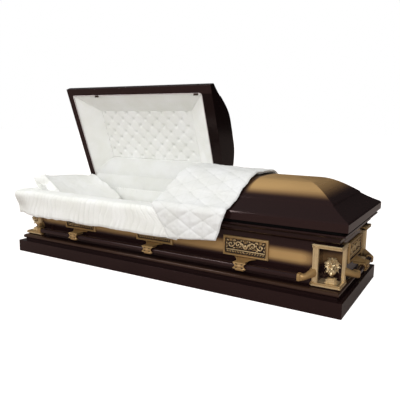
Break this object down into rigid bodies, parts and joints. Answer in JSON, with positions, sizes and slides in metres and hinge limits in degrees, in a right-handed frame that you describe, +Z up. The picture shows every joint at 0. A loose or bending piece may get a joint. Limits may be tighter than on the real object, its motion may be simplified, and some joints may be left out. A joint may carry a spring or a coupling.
{
  "type": "funeral casket",
  "caption": "Half-couch metal casket with its head lid open, cast fittings, bar handles, a white cloth interior and a quilted throw over the closed foot lid.",
  "frame": {"origin": "middle of the body's underside", "axes": "+X to the foot end, +Y to the hinge side, +Z up"},
  "size_m": [2.2043, 0.868, 1.0885],
  "materials": {
    "brown_paint": "glossy dark brown paint that fades to antique gold on the crown and round the waist",
    "bar_paint": "satin dark brown paint",
    "cast_gold": "antique gold plate, bright on the high spots and dark in the recesses",
    "plated_steel": "dull zinc plate",
    "gasket_rubber": "matt black",
    "crepe_cloth": "white crepe with fine gathers",
    "quilt": "white quilted cloth with a soft fill"
  },
  "bodies": {
    "casket_body": {"base_moulding": "brown_paint", "body_lining": "crepe_cloth", "body_shell": "brown_paint", "corner_frame_back_foot": "cast_gold", "corner_frame_back_head": "cast_gold", "corner_frame_front_foot": "cast_gold", "corner_frame_front_head": "cast_gold", "corner_urn_back_foot": "cast_gold", "corner_urn_back_head": "cast_gold", "corner_urn_front_foot": "cast_gold", "corner_urn_front_head": "cast_gold", "extendover": "crepe_cloth", "gasket": "gasket_rubber", "handle_arm_back_1": "cast_gold", "handle_arm_back_2": "cast_gold", "handle_arm_back_3": "cast_gold", "handle_arm_foot": "cast_gold", "handle_arm_front_1": "cast_gold", "handle_arm_front_2": "cast_gold", "handle_arm_front_3": "cast_gold", "handle_arm_head": "cast_gold", "handle_bar_back": "bar_paint", "handle_bar_foot": "bar_paint", "handle_bar_front": "bar_paint", "handle_bar_head": "bar_paint", "hinge_body_leaf_foot_1": "plated_steel", "hinge_body_leaf_foot_2": "plated_steel", "hinge_body_leaf_head_1": "plated_steel", "hinge_body_leaf_head_2": "plated_steel", "lug_plate_back_1": "cast_gold", "lug_plate_back_2": "cast_gold", "lug_plate_back_3": "cast_gold", "lug_plate_foot": "cast_gold", "lug_plate_front_1": "cast_gold", "lug_plate_front_2": "cast_gold", "lug_plate_front_3": "cast_gold", "lug_plate_head": "cast_gold", "mattress": "crepe_cloth", "pillow": "crepe_cloth"},
    "head_lid": {"head_lid_shell": "brown_paint", "head_lid_header": "brown_paint", "head_lid_lining": "crepe_cloth", "head_lid_panel": "crepe_cloth", "head_lid_apron": "crepe_cloth", "head_lid_catch_1": "plated_steel", "head_lid_catch_2": "plated_steel", "hinge_lid_leaf_head_1": "plated_steel", "hinge_lid_leaf_head_2": "plated_steel"},
    "foot_lid": {"foot_lid_shell": "brown_paint", "foot_lid_header": "brown_paint", "hinge_lid_leaf_foot_1": "plated_steel", "hinge_lid_leaf_foot_2": "plated_steel", "throw": "quilt"}
  },
  "joints": [
    {"name": "head_lid_hinge", "type": "hinge", "parent": "casket_body", "child": "head_lid", "pos_m": [0, 0.363, 0.39], "axis": [-1, 0, 0], "range_deg": [-70, 0], "deforming": ["extendover", "pillow"]},
    {"name": "foot_lid_hinge", "type": "hinge", "parent": "casket_body", "child": "foot_lid", "pos_m": [0, 0.363, 0.39], "axis": [-1, 0, 0], "range_deg": [0, 70], "deforming": ["throw"]}
  ]
}
